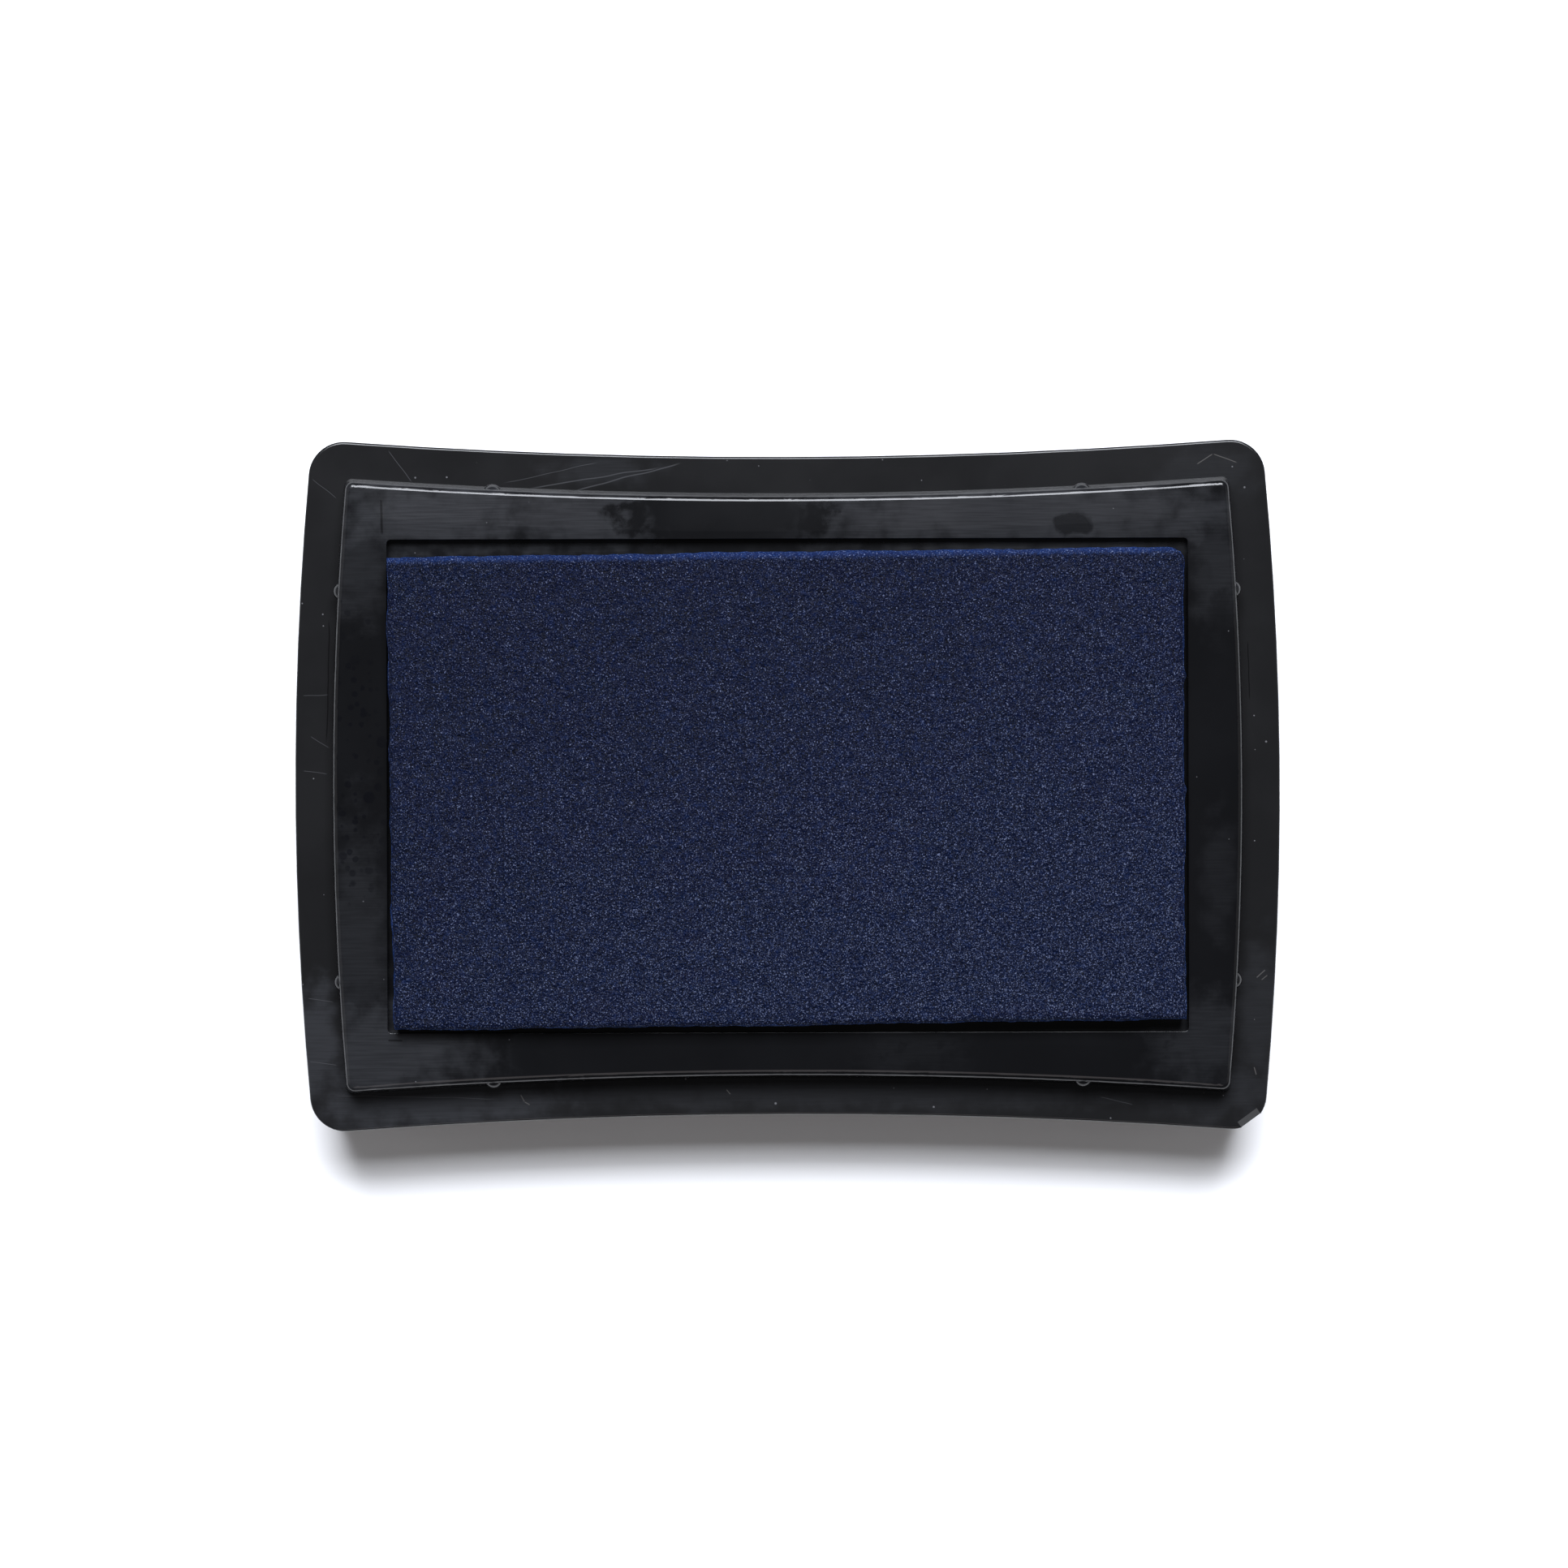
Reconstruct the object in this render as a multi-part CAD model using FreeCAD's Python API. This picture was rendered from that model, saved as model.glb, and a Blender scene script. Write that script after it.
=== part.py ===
import FreeCAD, Part
import os
from math import atan2, cos, degrees, hypot, radians, sin, sqrt
from FreeCAD import Vector

# Raised ink pad for rubber stamps, open for use: the pad stands in its own upturned lid.
# X runs along the pad, Y across it and Z up. The origin is at the centre of the face it stands on.
# All sizes are in millimetres. An inset is a distance inwards from the plan outline of the flange.

# ---- Plan outline: hollow long sides, bowed ends, round corners ----
OVERALL_LENGTH = 95.25  # over the bow of the two ends
OVERALL_WIDTH = 67.2  # over the corners, before they are rounded
SIDE_HOLLOW = 1.8  # how far the middle of a long side lies inside its corners
END_BOW = 1.68  # how far the middle of an end stands outside its corners
FLANGE_CORNER_RADIUS = 3.4

# ---- Heights ----
LID_HEIGHT = 10.0
REST_GAP = 0.05  # between the lid's rim and the flange that rests on it
FLANGE_THICKNESS = 2.0
FRAME_HEIGHT = 3.5  # of the raised frame above the flange
FOAM_PROUD = 2.4  # of the foam above the raised frame
CLOSED_HEIGHT = 19.05  # with the lid on top: the lid, the flange and the foot under it

# ---- Lid: outer wall, and an inner ring that fits round the foot ----
LID_INSET = 0.35  # the flange overhangs the lid, so that a fingernail finds it
LID_DRAFT = 0.15
LID_WALL = 1.15
LID_PANEL = 1.5
LID_CORNER_RADIUS = 3.05
LID_CAVITY_CORNER_RADIUS = 2.0
LID_EDGE_RADIUS = 1.2
RING_OUTER_INSET = 2.2
RING_INNER_INSET = 3.2
RING_BELOW_RIM = 1.2
RING_CORNER_RADIUS = 1.4
WEB_THICKNESS = 0.9
WEB_BELOW_RIM = 3.0
WEB_X = (-38.0, -20.0, 0.0, 20.0, 38.0)
WEB_Y = (-26.0, -9.0, 9.0, 26.0)

# ---- Base: flange, and a hollow foot under it ----
FOOT_INSET = 3.7
FOOT_EDGE_RADIUS = 0.5
SHELL_WALL = 1.3
SHELL_FLOOR = 1.45
FLANGE_TOP_RADIUS = 0.25
FLANGE_BOTTOM_RADIUS = 0.3
POST_RADIUS = 2.0
POST_X = (-30.0, 0.0, 30.0)
POST_Y = (-15.0, 15.0)
RIB_THICKNESS = 1.0
RIB_HEIGHT = 1.6
NOTCH_WIDTH = 2.3
NOTCH_DEPTH = 0.18  # into the rounded corner
NOTCH_DEPTH_AT_TOP = 0.9  # where its upper part leans back
NOTCH_LEAN_HEIGHT = 0.75
NOTCH_HEADING = -54.0  # degrees in plan, of the way that the notch faces

# ---- Tray: the raised frame, with a shallow recess for the foam and a well in it for the felt ----
FRAME_FOOT_INSET = 3.55  # of the frame's wall where it meets the flange
FRAME_TOP_INSET = 4.05  # and at its top: the wall leans inwards
FRAME_EDGE_RADIUS = 0.6
DECK_FALL = 0.1  # the deck slopes down by this much towards the frame's edge
DECK_SLOPE_WIDTH = 3.4
DECK_THICKNESS = 1.4
WALL_CORNER_RADIUS = 0.8  # of the frame and of the foot, in plan
HOLLOW_CORNER_RADIUS = 0.8
RECESS_LENGTH = 76.8
RECESS_WIDTH = 47.3
RECESS_DEPTH = 1.2
RECESS_CORNER_RADIUS = 0.4
RECESS_EDGE_RADIUS = 0.06
WELL_LENGTH = 71.0
WELL_WIDTH = 41.0
WELL_DEPTH = 5.2  # below the deck
WELL_WALL = 1.2
WELL_CORNER_RADIUS = 1.0
TAB_WIDTH = 7.0
TAB_THICKNESS = 1.0
TAB_LENGTH = 3.6
TAB_BARB = 0.3
BARB_HEIGHT = 1.0
FIT_GAP = 0.1

# ---- Catches for the lid: round bumps on the frame's wall and on the foot's ----
BUMP_RADIUS = 0.97
BUMP_PROUD = 0.42
BUMP_FROM_FLANGE = 2.2
BUMP_X = (-28.3, 28.3)  # on the long sides
BUMP_Y = (-18.8, 18.8)  # on the ends
DIMPLE_EXTRA = 0.22

# ---- Ink layers ----
FILM_THICKNESS = 0.15
FILM_LENGTH = 74.4
FILM_WIDTH = 43.4
FELT_CLEARANCE = 0.2
FOAM_LENGTH = 75.8
FOAM_WIDTH = 45.0
FOAM_TURN = 0.7  # degrees: the foam is stuck down a little askew
FOAM_OFF_CENTRE = -0.29  # along Y
FOAM_EDGE_RADIUS = 0.4

# ---- Labels ----
LABEL_THICKNESS = 0.15
LABEL_EDGE_GAP = 0.25
LABEL_CORNER_RADIUS = 1.8
LABEL_RECESS_RADIUS = 2.0
LID_RECESS_INSET = 7.0
LID_RECESS_DEPTH = 0.4
BASE_RECESS_INSET = 9.0
BASE_RECESS_DEPTH = 0.3
STICKER_THICKNESS = 0.1
STICKER_LENGTH = 34.0
STICKER_MARGIN = 2.0  # from the lid's rim, and from the face it stands on

# ---- Worked out from the sizes above ----
CORNER_X = OVERALL_LENGTH / 2 - END_BOW
CORNER_Y = OVERALL_WIDTH / 2
SIDE_RADIUS = (CORNER_X**2 + SIDE_HOLLOW**2) / (2 * SIDE_HOLLOW)
END_RADIUS = (CORNER_Y**2 + END_BOW**2) / (2 * END_BOW)
SIDE_CENTRE_Y = CORNER_Y - SIDE_HOLLOW + SIDE_RADIUS
END_CENTRE_X = OVERALL_LENGTH / 2 - END_RADIUS

FLANGE_BOTTOM = LID_HEIGHT + REST_GAP
FLANGE_TOP = FLANGE_BOTTOM + FLANGE_THICKNESS
FOOT_BOTTOM = FLANGE_TOP - (CLOSED_HEIGHT - LID_HEIGHT)
SHELL_FLOOR_TOP = FOOT_BOTTOM + SHELL_FLOOR
HOLLOW_INSET = FOOT_INSET + SHELL_WALL
FRAME_TOP = FLANGE_TOP + FRAME_HEIGHT
WELL_FLOOR_TOP = FRAME_TOP - WELL_DEPTH
WELL_FLOOR_BOTTOM = WELL_FLOOR_TOP - WELL_WALL
LEDGE_TOP = FRAME_TOP - RECESS_DEPTH
FOAM_BOTTOM = LEDGE_TOP + FILM_THICKNESS
FOAM_TOP = FRAME_TOP + FOAM_PROUD
PAST = 0.5  # how far a cut, or a joining overlap, runs past the face that it goes through


# ---- Plan outline ----
def fillet_centre(inset, radius):
    """Centre of the back right corner's arc, which is tangent to the long side's arc and the end's."""
    to_side = SIDE_RADIUS + inset + radius
    to_end = END_RADIUS - inset - radius
    gap = hypot(END_CENTRE_X, SIDE_CENTRE_Y)
    along = (to_side**2 - to_end**2 + gap**2) / (2 * gap)
    across = sqrt(to_side**2 - along**2)
    unit_x, unit_y = END_CENTRE_X / gap, -SIDE_CENTRE_Y / gap
    x = along * unit_x - across * unit_y
    y = SIDE_CENTRE_Y + along * unit_y + across * unit_x
    return Vector(x, y, 0)


def arc(centre, radius, start, end):
    """A circular arc in plan, from one angle to another in degrees."""
    points = []
    for angle in (start, (start + end) / 2, end):
        direction = Vector(cos(radians(angle)), sin(radians(angle)), 0)
        points.append(centre + direction * radius)
    return Part.Arc(*points).toShape()


def outline(inset, radius, z):
    """The plan outline, moved inwards by inset, as a closed wire of eight tangent arcs at height z."""
    corner = fillet_centre(inset, radius)
    side_half = degrees(atan2(corner.x, SIDE_CENTRE_Y - corner.y))
    end_half = degrees(atan2(corner.y, corner.x - END_CENTRE_X))
    arcs = []
    for sign, turn in ((1, 0), (-1, 180)):  # the right end and the back, then the left end and the front
        end_centre = Vector(END_CENTRE_X * sign, 0, z)
        side_centre = Vector(0, SIDE_CENTRE_Y * sign, z)
        near_corner = Vector(corner.x * sign, corner.y * sign, z)
        far_corner = Vector(-corner.x * sign, corner.y * sign, z)
        arcs.append(arc(end_centre, END_RADIUS - inset, turn - end_half, turn + end_half))
        arcs.append(arc(near_corner, radius, turn + end_half, turn + 90 + side_half))
        arcs.append(arc(side_centre, SIDE_RADIUS + inset, turn - 90 + side_half, turn - 90 - side_half))
        arcs.append(arc(far_corner, radius, turn + 90 - side_half, turn + 180 - end_half))
    return Part.Wire(arcs)


# ---- Simple solids ----
def prism(inset, radius, bottom, top):
    """The outline as an upright block between two heights."""
    return Part.Face(outline(inset, radius, bottom)).extrude(Vector(0, 0, top - bottom))


def tapered_prism(bottom_inset, top_inset, radius, bottom, top):
    """The outline as a block whose sides lean."""
    wires = [outline(bottom_inset, radius, bottom), outline(top_inset, radius, top)]
    return Part.makeLoft(wires, True, True)


def block(length, width, bottom, top, corner_radius=0.0, centre=(0.0, 0.0)):
    """A box about an upright axis, with its upright edges rounded if a radius is given."""
    corner = Vector(centre[0] - length / 2, centre[1] - width / 2, bottom)
    box = Part.makeBox(length, width, top - bottom, corner)
    if corner_radius:
        upright = [edge for edge in box.Edges if edge.BoundBox.ZLength > (top - bottom) / 2]
        box = box.makeFillet(corner_radius, upright)
    return box


def strips(thickness, places_x, places_y):
    """Upright slabs right across the part at each X, and right along it at each Y."""
    slabs = [block(thickness, OVERALL_WIDTH, 0, FOAM_TOP, centre=(x, 0)) for x in places_x]
    slabs += [block(OVERALL_LENGTH, thickness, 0, FOAM_TOP, centre=(0, y)) for y in places_y]
    return Part.makeCompound(slabs)


def level_edges(shape, z):
    """The edges of a shape that lie flat at height z."""
    boxes = [(edge, edge.BoundBox) for edge in shape.Edges]
    return [edge for edge, box in boxes if abs(box.ZMin - z) < 1e-4 and abs(box.ZMax - z) < 1e-4]


def rounded(shape, z, radius):
    """The shape with every edge at height z rounded."""
    return shape.makeFillet(radius, level_edges(shape, z))


# ---- Catches ----
def catch_places(inset):
    """A point and the outward direction for each of the eight catches, two to a side."""
    places = []
    for sign in (1, -1):
        side_centre = Vector(0, SIDE_CENTRE_Y * sign, 0)
        for x in BUMP_X:
            reach = sqrt((SIDE_RADIUS + inset) ** 2 - x**2)
            point = Vector(x, (SIDE_CENTRE_Y - reach) * sign, 0)
            places.append((point, (side_centre - point).normalize()))
        end_centre = Vector(END_CENTRE_X * sign, 0, 0)
        for y in BUMP_Y:
            reach = sqrt((END_RADIUS - inset) ** 2 - y**2)
            point = Vector((END_CENTRE_X + reach) * sign, y, 0)
            places.append((point, (point - end_centre).normalize()))
    return places


def catches(inset, z, extra=0.0):
    """Spheres part sunk in a wall at the catch places. With extra, they cut the dimples that clear them."""
    sunk = BUMP_RADIUS - BUMP_PROUD
    centres = [point - outward * sunk + Vector(0, 0, z) for point, outward in catch_places(inset)]
    return Part.makeCompound([Part.makeSphere(BUMP_RADIUS + extra, centre) for centre in centres])


# ---- Lid ----
def lid_outside(skin=0.0):
    """The lid's outer form, which is slightly narrower at the panel. With skin, it is that much bigger."""
    bottom_inset = LID_INSET + LID_DRAFT - skin
    return tapered_prism(bottom_inset, LID_INSET - skin, LID_CORNER_RADIUS, 0, LID_HEIGHT)


def lid_webs():
    """Thin webs that tie the lid's inner ring to its outer wall."""
    bottom, top = LID_PANEL - PAST, LID_HEIGHT - WEB_BELOW_RIM
    gap = prism(LID_INSET + LID_WALL - PAST, LID_CORNER_RADIUS, bottom, top)
    gap = gap.cut(prism(RING_OUTER_INSET + PAST, RING_CORNER_RADIUS, 0, LID_HEIGHT))
    return gap.common(strips(WEB_THICKNESS, WEB_X, WEB_Y))


def lid_shell():
    """Lid, lying on its top panel, with the dimples in its ring that clear the foot's catches."""
    shell = rounded(lid_outside(), 0, LID_EDGE_RADIUS)
    shell = shell.cut(prism(LID_INSET + LID_WALL, LID_CAVITY_CORNER_RADIUS, LID_PANEL, LID_HEIGHT + PAST))
    ring = prism(RING_OUTER_INSET, RING_CORNER_RADIUS, LID_PANEL - PAST, LID_HEIGHT - RING_BELOW_RIM)
    ring = ring.cut(prism(RING_INNER_INSET, HOLLOW_CORNER_RADIUS, 0, LID_HEIGHT))
    ring = ring.cut(catches(FOOT_INSET, FLANGE_BOTTOM - BUMP_FROM_FLANGE, DIMPLE_EXTRA))
    recess = prism(LID_RECESS_INSET, LABEL_RECESS_RADIUS, -PAST, LID_RECESS_DEPTH)
    return shell.fuse([ring, lid_webs()]).cut(recess).removeSplitter()


def lid_label():
    """Paper label in the recess of the lid's panel, clear of the table."""
    bottom = LID_RECESS_DEPTH - LABEL_THICKNESS
    return prism(LID_RECESS_INSET + LABEL_EDGE_GAP, LABEL_CORNER_RADIUS, bottom, LID_RECESS_DEPTH)


def lid_index_sticker():
    """Plain colour sticker on the lid's right-hand end, which tells the ink's colour in a stack."""
    height = LID_HEIGHT - 2 * STICKER_MARGIN
    corner = Vector(0, -STICKER_LENGTH / 2, STICKER_MARGIN)
    window = Part.makeBox(OVERALL_LENGTH, STICKER_LENGTH, height, corner)
    return lid_outside(STICKER_THICKNESS).cut(lid_outside()).common(window)


# ---- Base ----
def posts_and_ribs():
    """Posts that carry the tray while a stamp is pressed on the pad, and low ribs that join them."""
    low = SHELL_FLOOR_TOP - PAST
    height = WELL_FLOOR_BOTTOM - low
    rib_top = SHELL_FLOOR_TOP + RIB_HEIGHT
    found = []
    for x in POST_X:
        found += [Part.makeCylinder(POST_RADIUS, height, Vector(x, y, low)) for y in POST_Y]
        found.append(block(RIB_THICKNESS, 2 * POST_Y[-1], low, rib_top, centre=(x, 0)))
    for y in POST_Y:
        found.append(block(2 * POST_X[-1], RIB_THICKNESS, low, rib_top, centre=(0, y)))
    return found


def nail_notch():
    """Wedge that cuts a small flat off the flange's front right corner, for a fingernail."""
    near = FLANGE_CORNER_RADIUS - NOTCH_DEPTH
    near_top = FLANGE_CORNER_RADIUS - NOTCH_DEPTH_AT_TOP
    far = FLANGE_CORNER_RADIUS + PAST
    side = -NOTCH_WIDTH / 2
    profile = [
        Vector(near, side, FLANGE_BOTTOM - PAST),
        Vector(far, side, FLANGE_BOTTOM - PAST),
        Vector(far, side, FLANGE_TOP + PAST),
        Vector(near_top, side, FLANGE_TOP + PAST),
        Vector(near_top, side, FLANGE_TOP),
        Vector(near, side, FLANGE_TOP - NOTCH_LEAN_HEIGHT),
    ]
    wedge = Part.Face(Part.makePolygon(profile + profile[:1])).extrude(Vector(0, NOTCH_WIDTH, 0))
    wedge.rotate(Vector(0, 0, 0), Vector(0, 0, 1), NOTCH_HEADING)
    corner = fillet_centre(0, FLANGE_CORNER_RADIUS)
    return wedge.translated(Vector(corner.x, -corner.y, 0))


def snap_tabs(grow=0.0):
    """Eight hooked tabs under the tray's deck. Grown a little, they cut the pockets that take them."""
    bottom = FLANGE_TOP - TAB_LENGTH - grow
    outer_inset = HOLLOW_INSET + FIT_GAP
    leaf = prism(outer_inset, HOLLOW_CORNER_RADIUS, bottom, FRAME_TOP - DECK_THICKNESS)
    barb_top = bottom + BARB_HEIGHT + 2 * grow
    barb = prism(outer_inset - TAB_BARB - grow, HOLLOW_CORNER_RADIUS, bottom, barb_top)
    inside = prism(outer_inset + TAB_THICKNESS, HOLLOW_CORNER_RADIUS, bottom - PAST, FRAME_TOP)
    return leaf.fuse(barb).cut(inside).common(strips(TAB_WIDTH + 2 * grow, BUMP_X, BUMP_Y))


def base_shell():
    """Outer case: the flange, and under it a hollow foot with catches for the lid."""
    flange = prism(0, FLANGE_CORNER_RADIUS, FLANGE_BOTTOM, FLANGE_TOP)
    flange = rounded(flange, FLANGE_TOP, FLANGE_TOP_RADIUS)
    flange = rounded(flange, FLANGE_BOTTOM, FLANGE_BOTTOM_RADIUS).cut(nail_notch())
    foot = prism(FOOT_INSET, WALL_CORNER_RADIUS, FOOT_BOTTOM, FLANGE_BOTTOM + PAST)
    foot = rounded(foot, FOOT_BOTTOM, FOOT_EDGE_RADIUS)
    shell = flange.fuse([foot, catches(FOOT_INSET, FLANGE_BOTTOM - BUMP_FROM_FLANGE)])
    shell = shell.cut(prism(HOLLOW_INSET, HOLLOW_CORNER_RADIUS, SHELL_FLOOR_TOP, FLANGE_TOP + PAST))
    shell = shell.cut(snap_tabs(FIT_GAP)).fuse(posts_and_ribs())
    recess_top = FOOT_BOTTOM + BASE_RECESS_DEPTH
    recess = prism(BASE_RECESS_INSET, LABEL_RECESS_RADIUS, FOOT_BOTTOM - PAST, recess_top)
    return shell.cut(recess).removeSplitter()


def base_label():
    """Paper label stuck in the recess under the base."""
    top = FOOT_BOTTOM + BASE_RECESS_DEPTH
    return prism(BASE_RECESS_INSET + LABEL_EDGE_GAP, LABEL_CORNER_RADIUS, top - LABEL_THICKNESS, top)


# ---- Tray ----
def frame_outside():
    """The raised frame's outer form: leaning wall, rounded edge, and a deck that rises to the well."""
    edge_z = FRAME_TOP - DECK_FALL
    inner_inset = FRAME_TOP_INSET + DECK_SLOPE_WIDTH
    wall = tapered_prism(FRAME_FOOT_INSET, FRAME_TOP_INSET, WALL_CORNER_RADIUS, FLANGE_TOP, edge_z)
    deck = tapered_prism(FRAME_TOP_INSET, inner_inset, WALL_CORNER_RADIUS, edge_z, FRAME_TOP)
    frame = rounded(wall.fuse(deck), edge_z, FRAME_EDGE_RADIUS)
    lean = (FRAME_TOP_INSET - FRAME_FOOT_INSET) * BUMP_FROM_FLANGE / FRAME_HEIGHT
    return frame.fuse(catches(FRAME_FOOT_INSET + lean, FLANGE_TOP + BUMP_FROM_FLANGE))


def tab_roots():
    """Thick places inside the frame's wall, from which the snap tabs hang."""
    bottom, top = FLANGE_TOP, FRAME_TOP - DECK_THICKNESS
    root = prism(HOLLOW_INSET - PAST, HOLLOW_CORNER_RADIUS, bottom, top)
    root = root.cut(prism(HOLLOW_INSET + FIT_GAP + PAST, HOLLOW_CORNER_RADIUS, bottom - PAST, top + PAST))
    return root.common(strips(TAB_WIDTH, BUMP_X, BUMP_Y))


def is_on_recess_wall(edge):
    """True for an edge in the upright walls of the recess."""
    middle = edge.CenterOfMass
    return abs(middle.x) < RECESS_LENGTH / 2 + 0.01 and abs(middle.y) < RECESS_WIDTH / 2 + 0.01


def pad_tray():
    """Raised frame with the recess and the well. It stands on the flange and snaps into the base."""
    under_top = FRAME_TOP - DECK_FALL - DECK_THICKNESS
    tray = frame_outside().cut(prism(HOLLOW_INSET, HOLLOW_CORNER_RADIUS, FLANGE_TOP - PAST, under_top))
    wall = 2 * WELL_WALL
    ledge = block(RECESS_LENGTH + wall, RECESS_WIDTH + wall, LEDGE_TOP - WELL_WALL, FRAME_TOP - PAST)
    well_outside = block(WELL_LENGTH + wall, WELL_WIDTH + wall, WELL_FLOOR_BOTTOM, FRAME_TOP - PAST)
    tray = tray.fuse([ledge, well_outside, snap_tabs(), tab_roots()])
    tray = tray.cut(block(RECESS_LENGTH, RECESS_WIDTH, LEDGE_TOP, FRAME_TOP + PAST, RECESS_CORNER_RADIUS))
    brim = [edge for edge in level_edges(tray, FRAME_TOP) if is_on_recess_wall(edge)]
    tray = tray.makeFillet(RECESS_EDGE_RADIUS, brim)
    well = block(WELL_LENGTH, WELL_WIDTH, WELL_FLOOR_TOP, FRAME_TOP, WELL_CORNER_RADIUS)
    return tray.cut(well).removeSplitter()


# ---- Ink layers ----
def adhesive_film():
    """Double-sided film on the ledge round the well, which holds the foam by its edge."""
    film = block(FILM_LENGTH, FILM_WIDTH, LEDGE_TOP, FOAM_BOTTOM, WELL_CORNER_RADIUS)
    return film.cut(block(WELL_LENGTH, WELL_WIDTH, LEDGE_TOP - PAST, FRAME_TOP, WELL_CORNER_RADIUS))


def reservoir_felt():
    """Felt in the well, under the foam, which stores the ink."""
    length, width = WELL_LENGTH - 2 * FELT_CLEARANCE, WELL_WIDTH - 2 * FELT_CLEARANCE
    return block(length, width, WELL_FLOOR_TOP, FOAM_BOTTOM, WELL_CORNER_RADIUS)


def ink_foam():
    """Inked foam block, which stands proud of the raised frame."""
    foam = rounded(block(FOAM_LENGTH, FOAM_WIDTH, FOAM_BOTTOM, FOAM_TOP), FOAM_TOP, FOAM_EDGE_RADIUS)
    foam.rotate(Vector(0, 0, 0), Vector(0, 0, 1), FOAM_TURN)
    return foam.translated(Vector(0, FOAM_OFF_CENTRE, 0))


PIECES = (
    lid_shell,
    lid_label,
    lid_index_sticker,
    base_shell,
    base_label,
    pad_tray,
    adhesive_film,
    reservoir_felt,
    ink_foam,
)

os.makedirs("parts", exist_ok=True)
for make_piece in PIECES:
    name = make_piece.__name__
    shape = make_piece()
    shape.exportStep(f"parts/{name}.step")
    print(f"{name}: {len(shape.Solids)} solid, {shape.Volume:.1f} mm3, valid {shape.isValid()}")
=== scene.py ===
import math
import bpy
import numpy as np
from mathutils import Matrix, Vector


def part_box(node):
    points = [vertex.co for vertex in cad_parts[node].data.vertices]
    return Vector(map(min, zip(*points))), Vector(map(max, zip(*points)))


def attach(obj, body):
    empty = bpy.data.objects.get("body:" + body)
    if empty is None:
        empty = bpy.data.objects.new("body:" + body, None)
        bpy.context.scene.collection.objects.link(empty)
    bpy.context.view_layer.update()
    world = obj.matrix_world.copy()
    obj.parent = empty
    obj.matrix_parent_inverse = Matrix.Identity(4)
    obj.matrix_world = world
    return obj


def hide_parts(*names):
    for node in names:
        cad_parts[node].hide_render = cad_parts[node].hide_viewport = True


# Raised ink pad, seen from straight above on a white table, under a wide softbox at its back.
# Lengths are in metres, except in the shaders, which work in millimetres of the pad's own frame.
MM = 0.001

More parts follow.
